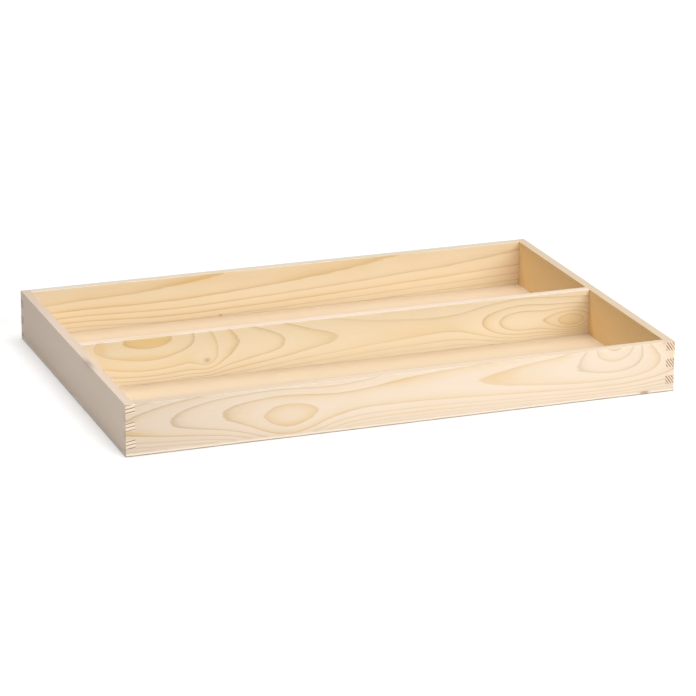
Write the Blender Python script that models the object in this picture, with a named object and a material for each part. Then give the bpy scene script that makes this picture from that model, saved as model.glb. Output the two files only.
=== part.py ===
"""A shallow pine tray with one lengthwise divider, which drops into a drawer.

Four boards meet in finger joints. The divider's ends sit in housings that stop short of the
side boards' top edges. A plywood sheet as large as the tray closes it underneath, glued and
stapled up into the walls and the divider, so its edges show all round.
The origin is the middle of the underside: X runs along the front, Y to the back, Z up.
"""

import math

import bmesh
import bpy
from mathutils import Matrix

# Driving dimensions, in metres.
LENGTH = 0.600  # along X
DEPTH = 0.400  # along Y
HEIGHT = 0.055  # along Z, with the bottom panel
BOARD = 0.010  # thickness of the four walls and of the divider
PANEL = 0.004  # thickness of the bottom panel
FINGERS = 5.5  # finger heights up each corner: a side board's on top, a half one at the foot
GAP = 0.0003  # room between pieces that touch
ARRIS = 0.0005  # rounding of the outer edges
MOUTH_ARRIS = 0.0005  # chamfer round the mouth of each compartment

HOUSING_DEPTH = 0.004  # how far the divider's ends go into the side boards
HOUSING_STOP = 0.010  # the housings end this far below the top edge

STAPLE_CROWN = 0.0064  # outer width of the crown
STAPLE_LEG = 0.0140  # from the crown's face to the points
STAPLE_WIRE = 0.0007  # wire thickness in the plane of the U
STAPLE_BREADTH = 0.0012  # wire thickness across that plane
STAPLE_BEND = 0.0009  # outer radius of the two bends
STAPLE_POINT = 0.0012  # length of the slanting points
STAPLE_SET = 0.0003  # the crown's face above the panel's underside
STAPLES_LONG = 5  # along the front and the back
STAPLES_SIDE = 4  # along each side
STAPLES_DIVIDER = 4
STAPLE_MARGIN = 0.045  # from the tray's ends to the nearest staples' middles

# What follows from them.
HALF_LENGTH = LENGTH / 2
HALF_DEPTH = DEPTH / 2
HALF_BOARD = BOARD / 2
INNER_X = HALF_LENGTH - BOARD  # inner faces of the side boards
INNER_Y = HALF_DEPTH - BOARD  # inner faces of the front and back boards
FRAME_FOOT = PANEL + GAP  # lower edges of the boards
FINGER = (HEIGHT - PANEL) / FINGERS
FINGER_PLACES = math.ceil(FINGERS)
HOUSING_TOP = HEIGHT - HOUSING_STOP
OVERSIZE = 0.002  # what a blank or a cutter has beyond the face it makes
BEND_STEPS = 4  # segments in each bend of a staple

PINE = (0.83, 0.66, 0.44, 1.0)
PLYWOOD = (0.80, 0.64, 0.45, 1.0)
STEEL = (0.62, 0.62, 0.60, 1.0)


def clear_scene():
    for obj in list(bpy.data.objects):
        bpy.data.objects.remove(obj)


def make_material(name, colour, roughness, metallic=0.0):
    material = bpy.data.materials.new(name)
    material.use_nodes = True
    shader = material.node_tree.nodes["Principled BSDF"]
    shader.inputs["Base Color"].default_value = colour
    shader.inputs["Roughness"].default_value = roughness
    shader.inputs["Metallic"].default_value = metallic
    return material


def add_object(name, mesh, material=None):
    obj = bpy.data.objects.new(name, mesh)
    bpy.context.scene.collection.objects.link(obj)
    if material:
        mesh.materials.append(material)
    return obj


def add_cutter(name, mesh):
    """A helper that shapes the boards and isn't part of the tray."""
    obj = add_object(name, mesh)
    obj.hide_render = True
    obj.display_type = "WIRE"
    return obj


def finish_mesh(bm, name):
    bmesh.ops.recalc_face_normals(bm, faces=bm.faces)
    mesh = bpy.data.meshes.new(name)
    bm.to_mesh(mesh)
    bm.free()
    return mesh


def boxes_mesh(name, boxes):
    """One mesh of boxes, each given by its (low, high) ends along X, Y and Z."""
    bm = bmesh.new()
    for spans in boxes:
        size = [high - low for low, high in spans]
        middle = [(low + high) / 2 for low, high in spans]
        place = Matrix.Translation(middle) @ Matrix.Diagonal((*size, 1.0))
        bmesh.ops.create_cube(bm, size=1.0, matrix=place)
    return finish_mesh(bm, name)


def outline_mesh(name, outline, half_thickness):
    """An upright slab, centred on Y, from a closed outline of (x, z) points."""
    bm = bmesh.new()
    face = bm.faces.new([bm.verts.new((x, -half_thickness, z)) for x, z in outline])
    extruded = bmesh.ops.extrude_face_region(bm, geom=[face])
    verts = [v for v in extruded["geom"] if isinstance(v, bmesh.types.BMVert)]
    bmesh.ops.translate(bm, verts=verts, vec=(0, 2 * half_thickness, 0))
    return finish_mesh(bm, name)


def span(side, near, far):
    """(low, high) of a stretch at near to far from the middle, on the + or the - side."""
    return tuple(sorted((side * near, side * far)))


def finger_waste(first):
    """(low, high) heights of every second finger place, counted down from the top."""
    places = range(first, FINGER_PLACES, 2)
    tops = [HEIGHT - place * FINGER for place in places]
    return [(top - FINGER - GAP / 2, top + GAP / 2) for top in tops]


def long_board_waste():
    """What comes off the front and back boards' ends, where the side boards' fingers go."""
    boxes = []
    for end in (-1, 1):
        for side in (-1, 1):
            x = span(end, INNER_X - GAP, HALF_LENGTH + 2 * OVERSIZE)
            y = span(side, INNER_Y - OVERSIZE, HALF_DEPTH + 2 * OVERSIZE)
            boxes += [(x, y, z) for z in finger_waste(0)]
    return boxes_mesh("long_board_waste", boxes)


def side_board_waste():
    """What comes off the side boards' ends, where the long boards' fingers go."""
    boxes = []
    for end in (-1, 1):
        for side in (-1, 1):
            x = span(side, INNER_X - OVERSIZE, HALF_LENGTH + 2 * OVERSIZE)
            y = span(end, INNER_Y - GAP, HALF_DEPTH + 2 * OVERSIZE)
            boxes += [(x, y, z) for z in finger_waste(1)]
    return boxes_mesh("side_board_waste", boxes)


def sanded_block():
    """The whole tray as one block with eased edges, to which its outer pieces are cut."""
    spans = ((-HALF_LENGTH, HALF_LENGTH), (-HALF_DEPTH, HALF_DEPTH), (0, HEIGHT))
    block = add_cutter("sanded_block", boxes_mesh("sanded_block", [spans]))
    bevel = block.modifiers.new("eased_edges", "BEVEL")
    bevel.width = ARRIS
    bevel.segments = 2
    bevel.limit_method = "NONE"
    return block


def mouth_chamfers():
    """A frustum over each compartment, whose slanting sides chamfer the inner top edges."""
    bm = bmesh.new()
    levels = (
        (-OVERSIZE, HEIGHT - MOUTH_ARRIS - OVERSIZE),
        (MOUTH_ARRIS + OVERSIZE, HEIGHT + OVERSIZE),
    )
    for side in (-1, 1):
        low_y, high_y = span(side, HALF_BOARD, INNER_Y)
        rings = []
        for grow, z in levels:
            x = INNER_X + grow
            corners = [(-x, low_y - grow), (x, low_y - grow), (x, high_y + grow), (-x, high_y + grow)]
            rings.append([bm.verts.new((*corner, z)) for corner in corners])
            bm.faces.new(rings[-1])
        lower, upper = rings
        for i in range(4):
            j = (i + 1) % 4
            bm.faces.new((lower[i], lower[j], upper[j], upper[i]))
    return finish_mesh(bm, "mouth_chamfers")


def housings():
    """The two stopped grooves that take the divider's ends, open at the boards' lower edges."""
    y = (-HALF_BOARD - GAP, HALF_BOARD + GAP)
    z = (0, HOUSING_TOP)
    ends = [span(end, INNER_X - OVERSIZE, INNER_X + HOUSING_DEPTH) for end in (-1, 1)]
    return boxes_mesh("housings", [(x, y, z) for x in ends])


def divider_outline():
    """The divider from the front: its upper corners are notched past the stopped housings."""
    shoulder = INNER_X - GAP
    tongue = INNER_X + HOUSING_DEPTH - GAP
    notch = HOUSING_TOP - GAP
    right = [(tongue, FRAME_FOOT), (tongue, notch), (shoulder, notch), (shoulder, HEIGHT)]
    left = [(-x, z) for x, z in reversed(right)]
    return right + left


def arc(centre_x, centre_z, radius, start):
    """Points along a quarter turn from a start angle, in degrees."""
    angles = [math.radians(start + 90 * i / BEND_STEPS) for i in range(BEND_STEPS + 1)]
    return [(centre_x + radius * math.cos(a), centre_z + radius * math.sin(a)) for a in angles]


def staple_outline():
    """The U in its own plane, crown down at height 0 and legs up."""
    half = STAPLE_CROWN / 2
    inner = half - STAPLE_WIRE
    shoulder = STAPLE_LEG - STAPLE_POINT
    points = arc(-half + STAPLE_BEND, STAPLE_BEND, STAPLE_BEND, 180)
    points += arc(half - STAPLE_BEND, STAPLE_BEND, STAPLE_BEND, 270)
    points += [(half, STAPLE_LEG), (inner, shoulder), (inner, STAPLE_WIRE)]
    points += [(-inner, STAPLE_WIRE), (-inner, shoulder), (-half, STAPLE_LEG)]
    return points


def staple_hole_outline():
    """The slot that a staple leaves, with room all round and open below the panel."""
    half = STAPLE_CROWN / 2 + GAP
    inner = STAPLE_CROWN / 2 - STAPLE_WIRE - GAP
    crown = STAPLE_WIRE + GAP
    tip = STAPLE_LEG + GAP
    right = [(half, -OVERSIZE), (half, tip), (inner, tip), (inner, crown)]
    left = [(-x, z) for x, z in reversed(right)]
    return right + left


def spread(count, reach):
    """Evenly spaced places from -reach to reach."""
    return [reach * (2 * i / (count - 1) - 1) for i in range(count)]


def staple_places():
    """(name, x, y, angle) of every staple: each crown runs along its board."""
    places = []
    long_line = spread(STAPLES_LONG, HALF_LENGTH - STAPLE_MARGIN)
    side_line = spread(STAPLES_SIDE, HALF_DEPTH - STAPLE_MARGIN)
    divider_line = spread(STAPLES_DIVIDER, HALF_LENGTH - STAPLE_MARGIN)
    for name, y in (("front", -HALF_DEPTH + HALF_BOARD), ("back", HALF_DEPTH - HALF_BOARD)):
        places += [(f"staple_{name}_{i}", x, y, 0) for i, x in enumerate(long_line, 1)]
    for name, x in (("left", -HALF_LENGTH + HALF_BOARD), ("right", HALF_LENGTH - HALF_BOARD)):
        places += [(f"staple_{name}_{i}", x, y, 90) for i, y in enumerate(side_line, 1)]
    places += [(f"staple_divider_{i}", x, 0, 0) for i, x in enumerate(divider_line, 1)]
    return places


def add_staples(material):
    """The staples, and one cutter with all their holes."""
    staple = outline_mesh("staple", staple_outline(), STAPLE_BREADTH / 2)
    staple.materials.append(material)
    hole = outline_mesh("staple_hole", staple_hole_outline(), STAPLE_BREADTH / 2 + GAP)
    holes = bmesh.new()
    for name, x, y, angle in staple_places():
        obj = add_object(name, staple)
        obj.location = (x, y, STAPLE_SET)
        obj.rotation_euler = (0, 0, math.radians(angle))
        placed = hole.copy()
        placed.transform(Matrix.Translation(obj.location) @ obj.rotation_euler.to_matrix().to_4x4())
        holes.from_mesh(placed)
    return add_cutter("staple_holes", finish_mesh(holes, "staple_holes"))


def cut(board, cutter, operation="DIFFERENCE"):
    boolean = board.modifiers.new(cutter.name, "BOOLEAN")
    boolean.operation = operation
    boolean.object = cutter
    boolean.solver = "EXACT"


def build():
    clear_scene()
    pine = make_material("pine", PINE, 0.55)
    plywood = make_material("plywood", PLYWOOD, 0.6)
    steel = make_material("galvanised_steel", STEEL, 0.35, 1.0)

    block = sanded_block()
    mouths = add_cutter("mouth_chamfers", mouth_chamfers())
    long_waste = add_cutter("long_board_waste", long_board_waste())
    side_waste = add_cutter("side_board_waste", side_board_waste())
    grooves = add_cutter("housings", housings())
    holes = add_staples(steel)

    # Outer pieces start oversize on the faces that the sanded block makes.
    outer_x = HALF_LENGTH + OVERSIZE
    outer_y = HALF_DEPTH + OVERSIZE
    board_z = (FRAME_FOOT, HEIGHT + OVERSIZE)

    for name, side in (("front_board", -1), ("back_board", 1)):
        spans = ((-outer_x, outer_x), span(side, INNER_Y, outer_y), board_z)
        board = add_object(name, boxes_mesh(name, [spans]), pine)
        cut(board, long_waste)
        cut(board, holes)
        cut(board, block, "INTERSECT")
        cut(board, mouths)

    for name, side in (("left_side_board", -1), ("right_side_board", 1)):
        spans = (span(side, INNER_X, outer_x), (-outer_y, outer_y), board_z)
        board = add_object(name, boxes_mesh(name, [spans]), pine)
        cut(board, side_waste)
        cut(board, grooves)
        cut(board, holes)
        cut(board, block, "INTERSECT")
        cut(board, mouths)

    divider_mesh = outline_mesh("divider_board", divider_outline(), HALF_BOARD)
    divider = add_object("divider_board", divider_mesh, pine)
    cut(divider, holes)
    cut(divider, mouths)

    spans = ((-outer_x, outer_x), (-outer_y, outer_y), (-OVERSIZE, PANEL))
    panel = add_object("bottom_panel", boxes_mesh("bottom_panel", [spans]), plywood)
    cut(panel, block, "INTERSECT")
    cut(panel, holes)


build()
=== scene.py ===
import math

import bmesh
import bpy
from mathutils import Matrix, Vector


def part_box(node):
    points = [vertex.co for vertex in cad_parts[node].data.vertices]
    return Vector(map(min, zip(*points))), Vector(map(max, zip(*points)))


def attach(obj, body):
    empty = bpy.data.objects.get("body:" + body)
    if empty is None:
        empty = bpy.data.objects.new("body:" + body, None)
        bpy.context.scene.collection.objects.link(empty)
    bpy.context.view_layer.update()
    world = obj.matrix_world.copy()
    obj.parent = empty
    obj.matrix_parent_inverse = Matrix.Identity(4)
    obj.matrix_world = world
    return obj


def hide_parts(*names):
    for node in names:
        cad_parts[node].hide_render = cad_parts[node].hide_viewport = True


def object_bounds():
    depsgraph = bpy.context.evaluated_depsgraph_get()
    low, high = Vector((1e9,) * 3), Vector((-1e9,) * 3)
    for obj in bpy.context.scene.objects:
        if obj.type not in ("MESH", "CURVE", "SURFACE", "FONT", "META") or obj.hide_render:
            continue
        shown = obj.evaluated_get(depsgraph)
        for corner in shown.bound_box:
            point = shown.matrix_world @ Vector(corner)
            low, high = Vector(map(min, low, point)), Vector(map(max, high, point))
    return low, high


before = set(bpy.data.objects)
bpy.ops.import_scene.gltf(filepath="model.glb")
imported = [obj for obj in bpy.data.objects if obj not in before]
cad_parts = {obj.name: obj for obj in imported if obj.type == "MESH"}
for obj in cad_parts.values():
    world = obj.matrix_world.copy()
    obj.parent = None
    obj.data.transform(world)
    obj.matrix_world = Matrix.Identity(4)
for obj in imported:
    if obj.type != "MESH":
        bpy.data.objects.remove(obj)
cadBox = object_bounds()
print("frame loaded:", len(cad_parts), "pieces")

# Sizes that every piece of the tray shares, read from the frame.
trayLow, trayHigh = cadBox
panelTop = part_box("bottom_panel")[1].z
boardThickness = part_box("divider_board")[1].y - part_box("divider_board")[0].y
innerX = trayHigh.x - boardThickness
innerY = trayHigh.y - boardThickness

tray = {
    "play": 0.00006,  # open joint between two glued pieces, in metres
    "fingersUp": 5.5,  # finger heights from the top edge down to the panel
    "arris": 0.0005,  # sanded rounding of the outside edges
    "mouth": 0.0005,  # the same round the mouths of the two compartments
    "overcut": 0.002,  # how far cutters run past the wood
    "housingDepth": 0.004,
    "housingStop": 0.010,  # below the top edge
}
fingerHeight = (trayHigh.z - panelTop) / tray["fingersUp"]
wastesUp = math.ceil(tray["fingersUp"] / 2)  # every second finger's place is cut away


class Wire:  # a node's output, on which Python's operators add Math nodes
    def __init__(self, bench, socket):
        self.bench = bench
        self.socket = socket

    def math(self, operation, *others):
        return self.bench.node("ShaderNodeMath", {"operation": operation}, [self, *others])

    def __add__(self, other):
        return self.math("ADD", other)

    __radd__ = __add__

    def __sub__(self, other):
        return self.math("SUBTRACT", other)

    def __rsub__(self, other):
        return self.bench.node("ShaderNodeMath", {"operation": "SUBTRACT"}, [other, self])

    def __mul__(self, other):
        return self.math("MULTIPLY", other)

    __rmul__ = __mul__

    def __truediv__(self, other):
        return self.math("DIVIDE", other)

    def __pow__(self, other):
        return self.math("POWER", other)

    def __neg__(self):
        return self.math("MULTIPLY", -1.0)


class Bench:  # a node tree under construction
    def __init__(self, tree):
        self.tree = tree

    def node(self, kind, settings=None, inputs=None, output=0):
        made = self.tree.nodes.new(kind)
        for key, value in (settings or {}).items():
            if key == "stops":
                self.setStops(made.color_ramp, value)
            else:
                setattr(made, key, value)
        pairs = inputs.items() if isinstance(inputs, dict) else enumerate(inputs or [])
        for key, value in pairs:
            if isinstance(value, Wire):
                self.tree.links.new(value.socket, made.inputs[key])
            else:
                made.inputs[key].default_value = value
        return Wire(self, made.outputs[output])

    def setStops(self, ramp, stops):
        while len(ramp.elements) < len(stops):
            ramp.elements.new(0.5)
        for element, (place, value) in zip(ramp.elements, stops):
            element.position = place
            element.color = (value, value, value, 1)

    def ramp(self, value, stops):
        return self.node("ShaderNodeValToRGB", {"stops": stops}, [value])

    def mix(self, factor, first, second, blend="MIX"):
        settings = {"data_type": "RGBA", "blend_type": blend, "clamp_factor": True}
        return self.node("ShaderNodeMix", settings, {0: factor, 6: first, 7: second}, 2)

    def vectorMath(self, operation, values, output=0):
        return self.node("ShaderNodeVectorMath", {"operation": operation}, values, output)

    def split(self, vector):
        parts = self.node("ShaderNodeSeparateXYZ", None, [vector])
        return [Wire(self, socket) for socket in parts.socket.node.outputs]

    def noise(self, vector, stretch, detail, roughness=0.5):
        # Noise of about one wave per unit of the stretched vector, from 0 to 1.
        scaled = self.vectorMath("MULTIPLY", [vector, stretch])
        values = {"Vector": scaled, "Scale": 1.0, "Detail": detail, "Roughness": roughness}
        return self.node("ShaderNodeTexNoise", {"noise_dimensions": "3D"}, values)


def newMaterial(name):
    material = bpy.data.materials.new(name)
    material.use_nodes = True
    bench = Bench(material.node_tree)
    shader = material.node_tree.nodes["Principled BSDF"]
    return material, bench, shader


def feed(bench, shader, **links):
    for name, value in links.items():
        socket = shader.inputs[name.replace("_", " ")]
        if isinstance(value, Wire):
            bench.tree.links.new(value.socket, socket)
        else:
            socket.default_value = value


pine = {
    "spring": (0.830, 0.680, 0.515, 1),  # the pale wood that a year starts with
    "springWarm": (0.820, 0.640, 0.450, 1),
    "honey": (0.780, 0.540, 0.260, 1),
    "autumn": (0.460, 0.300, 0.120, 1),  # the hard line that it ends with
    # The knots' brown, also used for the painted shades and for the painted shade in the plywood's
    # core gap.
    "knotAndShadeBrown": (0.240, 0.140, 0.070, 1),
    "sawnLine": (0.200, 0.095, 0.045, 1),  # the same line on end grain
    # The least strength of each in a year, and how much more a year may have:
    "honeyTone": (0.12, 0.55),
    "lineTone": (0.19, 0.30),
    "sawnTone": (0.65, 0.25),
    "patchiness": 1.5,  # how far the honey comes and goes over a board
    "resin": (0.32, 0.48),  # strength of resin in spring wood, and what honey wood adds
    "waver": 0.22,  # rings by which the lines wander
    "tremble": 0.08,  # and by which they tremble
    "sawnRise": 0.12,  # part of a year in which a sawn line darkens
    "relief": 0.00004,  # height of the lines and fibres, in metres
    "roughness": 0.50,
    "fibreRoughness": 0.15,
    "lineGloss": 0.06,  # hard lines are that much smoother
}

# How each board was cut from its log, in millimetres along, through and up the board.
# The rings are level lines of a field: "rings" at the crest, falling off below and above it,
# raised or lowered by swells (along, up, reach along, reach up, rings). Resin (along, up,
# reach along, reach up, strength) stains the wood honey, and knots and painted shades (centre,
# reach, strength, where a reach of 0 is endless) are brown dots and streaks of knots, and broad
# painted shade darkening one end of a board that gets less light.
# "soft" swells blur the rings' hard lines. A board's face tint is partly its own tone and partly
# painted light, set to the light and bounce that its faces get; its top-edge tint is painted
# light, a whitish painted sheen on the top edges; sawn ends differ in tint;
# "sawnLine" is where in the year the line starts on sawn ends.
frontGrain = {
    "shift": (300, 200, 0), "turn": 0,
    "rings": 2.55, "crest": 38, "below": 18.5, "power": 2.5, "above": 17,
    "slope": (0, 0.28, 0),
    "swells": [
        (-40, 62, 115, 60, -3.3),
        (172, -13, 53, 30, 5.5),
        (171, 32, 32, 16, 0.4),
        (173, 25, 17, 7, 0.45),
        (110, 64, 60, 14, -0.8),
        (215, 60, 60, 20, -1.3),
        (532, 73, 33, 26, 5.4),
        (525, 38, 135, 90, 1.4),
        (620, 45, 45, 60, -1.5),
    ],
    "resin": [
        (171, 26, 34, 16, 0.6),
        (205, 44, 40, 4, 0.5),
        (290, 48, 28, 5, 0.5),
        (403, 40, 24, 8, 0.5),
        (5, 23, 20, 4, 0.8),
    ],
    # Painted shade: a broad darkening towards the front board's left end, away from the light.
    "knotsAndShades": [((-20, 0, 0), (170, 0, 0), 0.17)],
    "soft": [(171, 26, 36, 14, 0.5), (370, 30, 150, 80, 0.6)],
    "face": (0.89, 0.92, 0.98, 1), "top": (1.03, 1.07, 1.18, 1), "sawn": (0.86, 0.84, 0.84, 1),
    "lines": 1.0, "sawnLine": 0.8,
}
dividerGrain = {
    "shift": (290, 5, 0), "turn": 0,
    "rings": -0.9, "crest": 36, "below": 19, "power": 2.2, "above": 22,
    "slope": (0, 0.28, 0),
    "swells": [
        (72, 62, 86, 34, 4.75),
        (75, 12, 100, 18, 1.6),
        (90, 40, 210, 200, 2.5),
        (6, 45, 32, 25, 0.5),
        (139, 24, 14, 15, 1.25),
        (208, 37, 24, 18, 0.35),
        (340, 60, 110, 22, -0.7),
        (500, 22, 46, 24, 3.0),
        (563, 21, 31, 16, 4.75),
    ],
    "resin": [
        (72, 50, 28, 5, 1.6),
        (23, 48, 6, 8, 0.9),
        (62, 33, 44, 4, 0.8),
        (365, 29, 65, 8, 0.35),
        (558, 21, 15, 9, 1.0),
    ],
    "knotsAndShades": [((138, 0, 23), (3.2, 4, 2.4), 0.45)],
    "soft": [(60, 33, 40, 6, 0.7), (20, 46, 12, 12, 0.7), (320, 30, 110, 80, 0.6)],
    "face": (1.07, 1.13, 1.11, 1), "top": (1.10, 1.15, 1.34, 1), "sawn": (0.90, 0.86, 0.84, 1),
    "lines": 1.0, "sawnLine": 0.8,
}
backGrain = {
    "shift": (290, -190, 0), "turn": 0,
    "rings": 5.35, "crest": 80, "below": 40, "power": 2.6, "above": 60,
    "slope": (-0.0048, 0.28, -0.018),
    "swells": [(30, 0, 90, 30, -1.6)],
    "resin": [
        (203, 48, 48, 5, 0.9),
        (385, 43, 20, 4, 0.5),
        (445, 49, 20, 4, 0.6),
        (60, 22, 80, 8, 0.4),
    ],
    "knotsAndShades": [((217, 0, 5.2), (1.8, 4, 0.9), 0.7)],
    "soft": [(430, 40, 200, 40, 0.35)],
    "face": (1.08, 1.11, 1.06, 1), "top": (0.96, 1.08, 1.26, 1), "sawn": (0.62, 0.56, 0.52, 1),
    "lines": 1.0, "sawnLine": 0.7,
}
leftGrain = {
    "shift": (200, -300, 0), "turn": -90,
    "rings": 0, "crest": 27, "below": 90, "power": 2, "above": 90,
    "slope": (0.0008, 0.04, 0.263),
    "swells": [(135, 57, 22, 8, 0.25)],
    "resin": [],
    # The first is a brown knot mark on the top edge; the second is painted shade, darkening the
    # board towards its rear end.
    "knotsAndShades": [((136, -2, 55), (17, 2.5, 4), 0.5), ((420, 0, 0), (150, 0, 0), 0.17)],
    "soft": [],
    # Painted shade: the left board's dim, cool face tint stands for the shade on its outer face.
    "face": (0.87, 0.88, 0.95, 1), "top": (0.97, 1.00, 1.13, 1), "sawn": (0.92, 0.92, 0.93, 1),
    "lines": 0.35, "sawnLine": 0.64,
}
rightGrain = {
    "shift": (200, 290, 0), "turn": -90,
    "rings": 0, "crest": 27, "below": 90, "power": 2, "above": 90,
    "slope": (0.0006, -0.33, 0.24),
    "swells": [],
    "resin": [],
    "knotsAndShades": [],
    "soft": [],
    # Painted light: the right board's warm, strong face tint stands for warm light bounced onto
    # its inner face.
    "face": (1.19, 1.07, 0.75, 1), "top": (0.93, 0.95, 0.98, 1), "sawn": (0.95, 0.92, 0.90, 1),
    "lines": 0.45, "sawnLine": 0.38,
}


def inMillimetres(bench, shift=(0, 0, 0), turn=0):
    # Object coordinates in millimetres, turned and shifted to run along a board.
    place = bench.node("ShaderNodeTexCoord", None, None, "Object")
    values = {
        "Vector": place,
        "Location": shift,
        "Rotation": (0, 0, math.radians(turn)),
        "Scale": (1000, 1000, 1000),
    }
    return bench.node("ShaderNodeMapping", {"vector_type": "POINT"}, values)


def hill(bench, spot, centre, reach):
    # 1 at its centre, dying away round it; a reach of 0 stands for endless.
    away = bench.vectorMath("SUBTRACT", [spot, centre])
    scale = tuple(1 / length if length else 0 for length in reach)
    scaled = bench.vectorMath("MULTIPLY", [away, scale])
    square = bench.vectorMath("DOT_PRODUCT", [scaled, scaled], "Value")
    return (-square).math("EXPONENT")


def swell(bench, spot, x, z, reachX, reachZ):
    return hill(bench, spot, (x, 0, z), (reachX, 0, reachZ))


def ringField(bench, spot, grain):
    up = bench.split(spot)[2]
    low = ((grain["crest"] - up) / grain["below"]).math("MAXIMUM", 0.0) ** grain["power"]
    high = ((up - grain["crest"]) / grain["above"]).math("MAXIMUM", 0.0) ** 2.0
    slope = bench.vectorMath("DOT_PRODUCT", [spot, grain["slope"]], "Value")
    field = grain["rings"] - low - high + slope
    for *place, rings in grain["swells"]:
        field = field + swell(bench, spot, *place) * rings
    waver = bench.noise(spot, (0.012, 0.10, 0.10), 2.0) - 0.5
    fine = bench.noise(spot, (0.06, 0.5, 0.5), 2.0) - 0.5
    return field + waver * pine["waver"] + fine * pine["tremble"]


def pineMaterial(name, grain):
    material, bench, shader = newMaterial(name)
    spot = inMillimetres(bench, grain["shift"], grain["turn"])
    field = ringField(bench, spot, grain)
    age = (-field).math("FRACT")  # 0 in spring to 1 at the year's end
    year = field.math("FLOOR")
    tone = bench.node("ShaderNodeTexWhiteNoise", {"noise_dimensions": "1D"}, {"W": year})
    weather = bench.node("ShaderNodeTexWhiteNoise", {"noise_dimensions": "1D"}, {"W": year + 40.5})

    # End grain is told from side grain by the way that the face looks.
    normal = bench.node("ShaderNodeTexCoord", None, None, "Normal")
    settings = {"vector_type": "NORMAL"}
    values = {"Vector": normal, "Rotation": (0, 0, math.radians(grain["turn"]))}
    facing = bench.split(bench.node("ShaderNodeMapping", settings, values))
    endMask = bench.ramp(facing[0].math("ABSOLUTE"), [(0.6, 0.0), (0.9, 1.0)])
    topMask = bench.ramp(facing[2], [(0.5, 0.0), (0.9, 1.0)])

    honey = bench.ramp(age, [(0.25, 0.0), (0.88, 1.0), (0.985, 1.0), (1.0, 0.0)])
    late = bench.ramp(age, [(0.64, 0.0), (0.83, 0.30), (0.93, 1.0), (0.96, 1.0), (1.0, 0.0)])
    for *place, strength in grain["soft"]:
        late = late * (1.0 - swell(bench, spot, *place) * strength)
    stain = 0.0
    for *place, strength in grain["resin"]:
        stain = swell(bench, spot, *place) * strength + stain
    breadth = bench.noise(spot, (0.010, 0.04, 0.04), 1.0)
    fibre = bench.noise(spot, (0.03, 3.0, 3.0), 3.0, 0.6)
    cloud = bench.noise(spot, (0.006, 0.05, 0.05), 1.0)
    colour = bench.mix(cloud, pine["spring"], pine["springWarm"])
    least, spread = pine["honeyTone"]
    amount = honey * (tone * spread + least) * (breadth * pine["patchiness"]) * grain["lines"]
    least, spread = pine["resin"]
    colour = bench.mix(amount + stain * (honey * spread + least), colour, pine["honey"])
    least, spread = pine["lineTone"]
    colour = bench.mix(late * (weather * spread + least) * grain["lines"], colour, pine["autumn"])
    # Knots, and broad painted shade where an end of a board gets less light, darken to the same
    # brown.
    for centre, reach, strength in grain["knotsAndShades"]:
        colour = bench.mix(hill(bench, spot, centre, reach) * strength, colour, pine["knotAndShadeBrown"])

    # Painted light: the face tint is partly the board's own tone and partly its light; the top
    # tint is a painted sheen.
    face = bench.mix(1.0, colour, grain["face"], "MULTIPLY")
    top = bench.mix(1.0, colour, grain["top"], "MULTIPLY")
    start = grain["sawnLine"]
    stops = [(start, 0.0), (start + pine["sawnRise"], 1.0), (0.95, 1.0), (1.0, 0.0)]
    least, spread = pine["sawnTone"]
    amount = bench.ramp(age, stops) * (weather * spread + least)
    sawn = bench.mix(amount, pine["spring"], pine["sawnLine"])
    sawn = bench.mix(1.0, sawn, grain["sawn"], "MULTIPLY")
    colour = bench.mix(endMask, bench.mix(topMask, face, top), sawn)
    streak = bench.ramp(fibre, [(0.25, 0.95), (0.75, 1.03)])
    colour = bench.mix(1.0, colour, streak, "MULTIPLY")

    height = late * 0.5 + fibre * 0.5
    values = {"Strength": 0.5, "Distance": pine["relief"], "Height": height}
    bump = bench.node("ShaderNodeBump", None, values)
    rough = pine["roughness"] + (fibre - 0.5) * pine["fibreRoughness"] - late * pine["lineGloss"]
    feed(bench, shader, Base_Color=colour, Normal=bump, Roughness=rough)
    return material


def buildTree(name, sockets):
    tree = bpy.data.node_groups.new(name, "GeometryNodeTree")
    for label, kind in sockets:
        tree.interface.new_socket(name=label, in_out="INPUT", socket_type="NodeSocket" + kind)
    tree.interface.new_socket(name="Geometry", in_out="OUTPUT", socket_type="NodeSocketGeometry")
    bench = Bench(tree)
    entry = tree.nodes.new("NodeGroupInput")
    return tree, bench, {label: Wire(bench, entry.outputs[label]) for label, kind in sockets}


def finishTree(bench, geometry, material):
    realized = bench.node("GeometryNodeRealizeInstances", None, {"Geometry": geometry})
    values = {"Geometry": realized, "Material": material}
    painted = bench.node("GeometryNodeSetMaterial", None, values)
    leave = bench.tree.nodes.new("NodeGroupOutput")
    bench.tree.links.new(painted.socket, leave.inputs["Geometry"])


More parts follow.
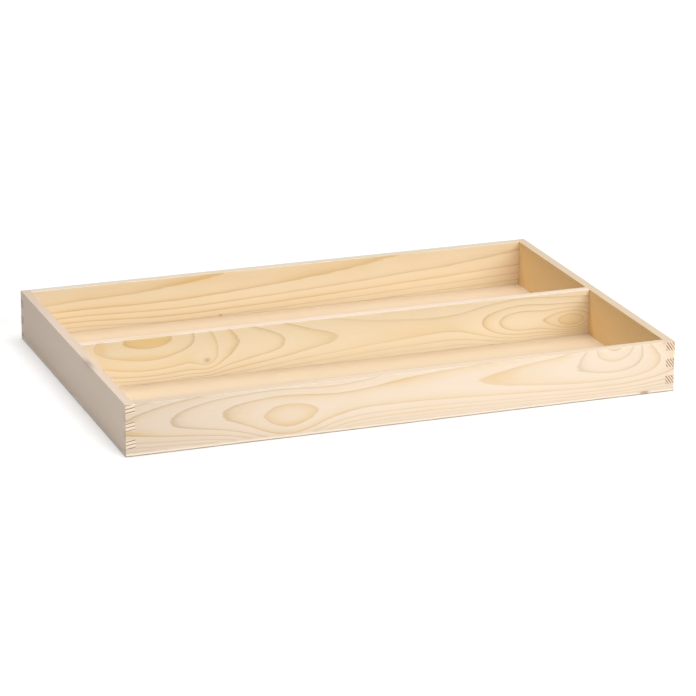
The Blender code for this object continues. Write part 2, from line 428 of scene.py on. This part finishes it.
def jointedBoardTree():
    # A plank along X with the waste between its fingers cut out at both ends.
    tree, bench, size = buildTree("jointedBoard", [
        ("Length", "Float"), ("Thickness", "Float"), ("Foot", "Float"), ("Top", "Float"),
        ("Finger Height", "Float"), ("First Waste", "Int"), ("Waste Count", "Int"),
        ("Waste Depth", "Float"), ("Play", "Float"), ("Wood", "Material"),
    ])

    def vector(x, y, z):
        return bench.node("ShaderNodeCombineXYZ", None, [x, y, z])

    height = size["Top"] - size["Foot"]
    cube = bench.node(
        "GeometryNodeMeshCube", None, {"Size": vector(size["Length"], size["Thickness"], height)}
    )
    plank = bench.node(
        "GeometryNodeTransform", None,
        {"Geometry": cube, "Translation": vector(0.0, 0.0, size["Foot"] + height * 0.5)},
    )
    block = bench.node("GeometryNodeMeshCube", None, {"Size": vector(
        size["Waste Depth"] * 2.0, size["Thickness"] * 3.0, size["Finger Height"] + size["Play"]
    )})
    # The gaps lie two finger heights apart, down from the first one.
    firstWaste = size["Top"] - size["Finger Height"] * (size["First Waste"] + 0.5)
    ends = []
    for end in (-0.5, 0.5):
        line = bench.node("GeometryNodeMeshLine", {"mode": "OFFSET"}, {
            "Count": size["Waste Count"],
            "Start Location": vector(size["Length"] * end, 0.0, firstWaste),
            "Offset": vector(0.0, 0.0, size["Finger Height"] * -2.0),
        })
        values = {"Points": line, "Instance": block}
        ends.append(bench.node("GeometryNodeInstanceOnPoints", None, values))
    joined = bench.node("GeometryNodeJoinGeometry")
    for end in ends:
        bench.tree.links.new(end.socket, joined.socket.node.inputs[0])
    waste = bench.node("GeometryNodeRealizeInstances", None, {"Geometry": joined})
    cut = bench.node(
        "GeometryNodeMeshBoolean", {"operation": "DIFFERENCE", "solver": "EXACT"},
        {"Mesh 1": plank, "Mesh 2": waste},
    )
    finishTree(bench, cut, size["Wood"])
    return tree


def addObject(name, mesh):
    made = bpy.data.objects.new(name, mesh)
    bpy.context.scene.collection.objects.link(made)
    return made


def freeze(made):
    # The object as its modifiers leave it, in a plain mesh.
    bpy.context.view_layer.update()
    graph = bpy.context.evaluated_depsgraph_get()
    mesh = bpy.data.meshes.new_from_object(made.evaluated_get(graph))
    made.modifiers.clear()
    made.data = mesh
    return made


def sweep(made):
    # Slivers thinner than a micron are left where cuts meet; they are merged away.
    bm = bmesh.new()
    bm.from_mesh(made.data)
    bmesh.ops.dissolve_degenerate(bm, dist=0.000001, edges=bm.edges)
    bm.to_mesh(made.data)
    bm.free()
    return made


def paint(made, material):
    # One material over the whole mesh, wherever a face was cut from.
    made.data.materials.clear()
    made.data.materials.append(material)
    for face in made.data.polygons:
        face.material_index = 0
    return made


def meshFrom(bm, name):
    bmesh.ops.recalc_face_normals(bm, faces=bm.faces)
    mesh = bpy.data.meshes.new(name)
    bm.to_mesh(mesh)
    bm.free()
    return mesh


def thicken(bm, outline, step):
    # A closed block between a flat outline and its copy one step away.
    face = bm.faces.new([bm.verts.new(corner) for corner in outline])
    swept = bmesh.ops.extrude_face_region(bm, geom=[face])
    moved = [v for v in swept["geom"] if isinstance(v, bmesh.types.BMVert)]
    bmesh.ops.translate(bm, verts=moved, vec=step)


def blockMesh(name, spans):
    bm = bmesh.new()
    for low, high in spans:
        low, high = Vector(low), Vector(high)
        place = Matrix.Translation((low + high) / 2) @ Matrix.Diagonal((*(high - low), 1))
        bmesh.ops.create_cube(bm, size=1, matrix=place)
    return meshFrom(bm, name)


def sandingBlock():
    # The whole tray with its eased outer edges: the outer pieces are cut to it.
    block = addObject("sandingBlock", blockMesh("sandingBlock", [(trayLow, trayHigh)]))
    bevel = block.modifiers.new("arris", "BEVEL")
    bevel.width = tray["arris"]
    bevel.segments = 3
    bevel.limit_method = "NONE"
    return freeze(block)


def mouthCutter():
    # Two slopes round each compartment's mouth ease the inner top edges.
    bm = bmesh.new()
    ease = tray["mouth"]
    over = tray["overcut"]
    half = boardThickness / 2
    lean = over * 0.4  # past the wood, the cutter's sides lean away from it
    belly = ease * 0.3  # and between, the slope is a little rounded
    rise = [(-lean, -over), (0, -ease), (belly, -belly), (ease, 0), (ease + over, lean)]
    for side in (-1, 1):
        near, far = sorted((side * half, side * innerY))
        rings = []
        for out, up in rise:
            x = innerX + out
            corners = [(-x, near - out), (x, near - out), (x, far + out), (-x, far + out)]
            rings.append([bm.verts.new((*corner, trayHigh.z + up)) for corner in corners])
        bm.faces.new(rings[0])
        bm.faces.new(rings[-1])
        for lower, upper in zip(rings, rings[1:]):
            for i in range(4):
                j = (i + 1) % 4
                bm.faces.new((lower[i], lower[j], upper[j], upper[i]))
    return addObject("mouthCutter", meshFrom(bm, "mouthCutter"))


def housingCutter():
    half = boardThickness / 2 + tray["play"] / 2
    spans = []
    for side in (-1, 1):
        x = sorted((side * (innerX - tray["overcut"]), side * (innerX + tray["housingDepth"])))
        top = trayHigh.z - tray["housingStop"]
        spans.append(((x[0], -half, 0), (x[1], half, top)))
    return addObject("housingCutter", blockMesh("housingCutter", spans))


staple = {
    "wire": 0.0007,
    "room": 0.0001,  # left open round the wire
    "dull": (0.58, 0.59, 0.60, 1),
    "bright": (0.72, 0.72, 0.71, 1),
    "roughness": (0.28, 0.20),  # the least, and what the duller streaks add
}


def stapleSlots():
    # The slot that each staple has cut: its own box, with the wood between its legs left in.
    room = staple["room"]
    wire = staple["wire"]
    foot = trayLow.z - tray["overcut"] / 2
    bm = bmesh.new()
    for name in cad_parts:
        if not name.startswith("staple"):
            continue
        low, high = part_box(name)
        middle = (low + high) / 2
        across = high.x - low.x > high.y - low.y
        half = max(high.x - low.x, high.y - low.y) / 2 + room
        thick = min(high.x - low.x, high.y - low.y) / 2 + room
        inner = half - wire - 2 * room
        crown = low.z + wire + room
        right = [(half, foot), (half, high.z + room), (inner, high.z + room), (inner, crown)]
        outline = right + [(-u, w) for u, w in reversed(right)]
        turn = Matrix.Rotation(0 if across else math.pi / 2, 4, "Z")
        place = Matrix.Translation((middle.x, middle.y, 0)) @ turn
        corners = [place @ Vector((u, -thick, w)) for u, w in outline]
        thicken(bm, corners, place.to_3x3() @ Vector((0, 2 * thick, 0)))
    return addObject("stapleSlots", meshFrom(bm, "stapleSlots"))


def cut(made, cutter, operation="DIFFERENCE"):
    boolean = made.modifiers.new(cutter.name, "BOOLEAN")
    boolean.operation = operation
    boolean.solver = "EXACT"
    boolean.object = cutter


def setInputs(modifier, tree, values):
    for item in tree.interface.items_tree:
        if item.in_out == "INPUT":
            modifier[item.identifier] = values[item.name]


def jointedBoard(name, tree, length, place, firstWaste, wood, cutters):
    made = addObject(name, bpy.data.meshes.new(name))
    modifier = made.modifiers.new("joints", "NODES")
    modifier.node_group = tree
    over = tray["overcut"]
    setInputs(modifier, tree, {
        "Length": length + 2 * over,
        "Thickness": boardThickness + over,
        "Foot": panelTop + tray["play"],
        "Top": trayHigh.z,
        "Finger Height": fingerHeight,
        "First Waste": firstWaste,
        "Waste Count": wastesUp,
        "Waste Depth": boardThickness + over + tray["play"],
        "Play": tray["play"],
        "Wood": wood,
    })
    freeze(made)
    made.data.transform(place)
    for cutter in cutters:
        cut(made, cutter, "INTERSECT" if cutter.name == "sandingBlock" else "DIFFERENCE")
    return paint(sweep(freeze(made)), wood)


def adopt(made, slot, *nodes):
    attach(made, "root")
    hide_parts(*nodes)
    return made


def makeWood():
    tree = jointedBoardTree()
    block = sandingBlock()
    mouths = mouthCutter()
    housings = housingCutter()
    slots = stapleSlots()
    length = trayHigh.x - trayLow.x
    depth = trayHigh.y - trayLow.y
    # A blank is thicker than its board on the outside, where the sanding block cuts it.
    outward = tray["overcut"] / 2
    middle = boardThickness / 2
    quarter = Matrix.Rotation(math.pi / 2, 4, "Z")
    woods = {
        "front": pineMaterial("pineFront", frontGrain),
        "back": pineMaterial("pineBack", backGrain),
        "left": pineMaterial("pineLeft", leftGrain),
        "right": pineMaterial("pineRight", rightGrain),
        "divider": pineMaterial("pineDivider", dividerGrain),
    }
    for side, name in ((-1, "front"), (1, "back")):
        place = Matrix.Translation((0, side * (trayHigh.y - middle + outward), 0))
        cutters = [slots, block, mouths]
        board = jointedBoard(name + "Board", tree, length, place, 0, woods[name], cutters)
        adopt(board, "pine", name + "_board")
    for side, name in ((-1, "left"), (1, "right")):
        place = Matrix.Translation((side * (trayHigh.x - middle + outward), 0, 0)) @ quarter
        cutters = [housings, slots, block, mouths]
        board = jointedBoard(name + "SideBoard", tree, depth, place, 1, woods[name], cutters)
        adopt(board, "pine", name + "_side_board")
    print("walls jointed")

    divider = addObject("dividerBoard", dividerMesh())
    cut(divider, slots)
    cut(divider, mouths)
    adopt(paint(sweep(freeze(divider)), woods["divider"]), "pine", "divider_board")
    print("divider housed")

    over = Vector([tray["overcut"]] * 3)
    sheet = [(trayLow - over, (trayHigh.x + over.x, trayHigh.y + over.y, panelTop))]
    panel = addObject("bottomPanel", blockMesh("bottomPanel", sheet))
    gap = coreGap()
    cut(panel, block, "INTERSECT")
    cut(panel, slots)
    cut(panel, gap)
    adopt(paint(sweep(freeze(panel)), plywoodMaterial()), "plywood", "bottom_panel")
    print("panel fitted")
    for helper in (block, mouths, housings, slots, gap):
        bpy.data.objects.remove(helper)


def dividerMesh():
    # Notched at its upper corners, because its housings stop short of the top edge.
    shoulder = innerX - tray["play"]
    tongue = innerX + tray["housingDepth"] - tray["play"]
    notch = trayHigh.z - tray["housingStop"] - tray["play"]
    foot = panelTop + tray["play"]
    right = [(tongue, foot), (tongue, notch), (shoulder, notch), (shoulder, trayHigh.z)]
    outline = right + [(-x, z) for x, z in reversed(right)]
    half = boardThickness / 2
    bm = bmesh.new()
    thicken(bm, [(x, -half, z) for x, z in outline], (0, 2 * half, 0))
    return meshFrom(bm, "dividerBoard")


plywood = {
    "face": (0.72, 0.58, 0.42, 1),
    "faceWarm": (0.70, 0.55, 0.38, 1),
    "topEdge": (0.72, 0.59, 0.46, 1),  # the three veneers, seen on the panel's edges; the lowest is painted dark as a contact shadow along the panel's foot
    "coreEdge": (0.82, 0.72, 0.60, 1),
    "footVeneerAndShadow": (0.30, 0.24, 0.19, 1),
    "thickness": 4.0,  # in millimetres, shared out between the veneers
    "waviness": 0.7,  # in millimetres
    "relief": 0.00004,  # height of the fibres, in metres
    "roughness": 0.55,
    # The gap's centre and reach in metres, then those of the painted shade in it in millimetres:
    "gap": ((0.266, trayLow.y, 0.0022), (0.0044, 0.0020, 0.0009)),
    "gapPaintedShade": ((266, -200, 2.3), (4.5, 3, 1.2)),
}


def coreGap():
    # A short gap between two core strips, where a splinter has come out of the panel's edge.
    centre, reach = plywood["gap"]
    bm = bmesh.new()
    place = Matrix.Translation(centre) @ Matrix.Diagonal((*reach, 1))
    bmesh.ops.create_icosphere(bm, subdivisions=2, radius=1, matrix=place)
    return addObject("coreGap", meshFrom(bm, "coreGap"))


def plywoodMaterial():
    material, bench, shader = newMaterial("plywood")
    spot = inMillimetres(bench)
    fibre = bench.noise(spot, (0.02, 1.6, 1.6), 3.0, 0.6)
    band = bench.noise(spot, (0.004, 0.06, 0.06), 2.0)
    colour = bench.mix(band, plywood["face"], plywood["faceWarm"])
    wave = bench.noise(spot, (0.08, 0.08, 0.4), 2.0) - 0.5
    height = (bench.split(spot)[2] + wave * plywood["waviness"]) / plywood["thickness"]
    core = bench.ramp(height, [(0.24, 0.0), (0.34, 1.0), (0.66, 1.0), (0.76, 0.0)])
    # The lowest veneer's edge is painted dark: a painted contact shadow where the panel stands on
    # the floor.
    foot = bench.ramp(height, [(0.22, 1.0), (0.34, 0.0)])
    edge = bench.mix(core, plywood["topEdge"], plywood["coreEdge"])
    edge = bench.mix(foot, edge, plywood["footVeneerAndShadow"])
    # Painted shade in the hollow of the core gap.
    edge = bench.mix(hill(bench, spot, *plywood["gapPaintedShade"]), edge, pine["knotAndShadeBrown"])
    normal = bench.node("ShaderNodeTexCoord", None, None, "Normal")
    upright = bench.ramp(bench.split(normal)[2].math("ABSOLUTE"), [(0.5, 1.0), (0.8, 0.0)])
    colour = bench.mix(upright, colour, edge)
    streak = bench.ramp(fibre, [(0.25, 0.96), (0.75, 1.03)])
    colour = bench.mix(1.0, colour, streak, "MULTIPLY")
    values = {"Strength": 0.4, "Distance": plywood["relief"], "Height": fibre}
    bump = bench.node("ShaderNodeBump", None, values)
    feed(bench, shader, Base_Color=colour, Normal=bump, Roughness=plywood["roughness"])
    return material


def stapleMaterial():
    material, bench, shader = newMaterial("zincWire")
    spot = inMillimetres(bench)
    draw = bench.noise(spot, (1.5, 1.5, 1.5), 3.0)
    colour = bench.mix(draw, staple["dull"], staple["bright"])
    least, spread = staple["roughness"]
    feed(bench, shader, Base_Color=colour, Roughness=least + draw * spread, Metallic=1.0)
    return material


def paintStaples():
    wire = stapleMaterial()
    for name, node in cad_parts.items():
        if name.startswith("staple"):
            node.data.materials.clear()
            node.data.materials.append(wire)
    print("staples painted")


studio = {
    "azimuth": 20.47,  # degrees that the camera looks to the right of the tray's depth
    "elevation": 18.48,
    "roll": 0.30,
    "distance": 3.443,
    "lens": 166.7,
    "aim": (0.0006, -0.0220, 0.0249),
    # Each softbox's place and size in metres, and its power in watts:
    "overheadBox": ((-0.1, 0.2, 3.0), (2.8, 2.8), 104),
    "frontBox": ((1.1, -3.1, 1.4), (2.6, 1.6), 91),
    "lampAim": (0, 0, 0.03),
    "sky": 0.0,  # strength of the light from all round
    "floor": 0.82,  # its shade of grey
    "floorReach": 9,
    "floorThickness": 0.02,
    "glow": 0.24,  # light that the floor gives by itself, near the tray
    "farGlow": 1.0,  # and far behind it, where the softboxes no longer reach
    "glowSpan": (0.8, 2.5),  # metres from the tray's middle where the one gives way to the other
}


def placeCamera():
    azimuth = math.radians(studio["azimuth"])
    elevation = math.radians(studio["elevation"])
    roll = math.radians(studio["roll"])
    level = math.cos(elevation)
    look = Vector((math.sin(azimuth) * level, math.cos(azimuth) * level, -math.sin(elevation)))
    data = bpy.data.cameras.new("studioCamera")
    data.lens = studio["lens"]
    data.sensor_width = 36
    data.clip_end = 50
    camera = addObject("studioCamera", data)
    turn = look.to_track_quat("-Z", "Y").to_matrix().to_4x4() @ Matrix.Rotation(roll, 4, "Z")
    place = Vector(studio["aim"]) - look * studio["distance"]
    camera.matrix_world = Matrix.Translation(place) @ turn
    bpy.context.scene.camera = camera


def softbox(name, place, size, power):
    data = bpy.data.lights.new(name, "AREA")
    data.shape = "RECTANGLE"
    data.size, data.size_y = size
    data.energy = power
    lamp = addObject(name, data)
    aim = Vector(studio["lampAim"]) - Vector(place)
    turn = aim.to_track_quat("-Z", "Y").to_matrix().to_4x4()
    lamp.matrix_world = Matrix.Translation(place) @ turn


def lightStudio():
    for name in ("overheadBox", "frontBox"):
        softbox(name, *studio[name])
    world = bpy.data.worlds.new("studioSky")
    world.use_nodes = True
    world.node_tree.nodes["Background"].inputs["Color"].default_value = (1, 1, 1, 1)
    world.node_tree.nodes["Background"].inputs["Strength"].default_value = studio["sky"]
    bpy.context.scene.world = world
    bpy.context.scene.view_settings.view_transform = "Standard"


def layFloor():
    wide = studio["floorReach"]
    thick = studio["floorThickness"]
    mesh = blockMesh("studioFloor", [((-wide, -wide, -thick), (wide, wide, 0.0))])
    material, bench, shader = newMaterial("paleFloor")
    shade = studio["floor"]
    feed(bench, shader, Base_Color=(shade, shade, shade, 1), Roughness=0.9)
    place = bench.node("ShaderNodeTexCoord", None, None, "Object")
    away = bench.vectorMath("LENGTH", [place], "Value")
    near, far = studio["glowSpan"]
    span = 2 * far  # the ramp runs from 0 to 1 over this distance
    stops = [(near / span, studio["glow"]), (far / span, studio["farGlow"])]
    light = bench.ramp(away / span, stops)
    feed(bench, shader, Emission_Color=light, Emission_Strength=1.0)
    mesh.materials.append(material)
    addObject("studioFloor", mesh)


placeCamera()
lightStudio()
layFloor()
print("studio set up")
makeWood()
paintStaples()
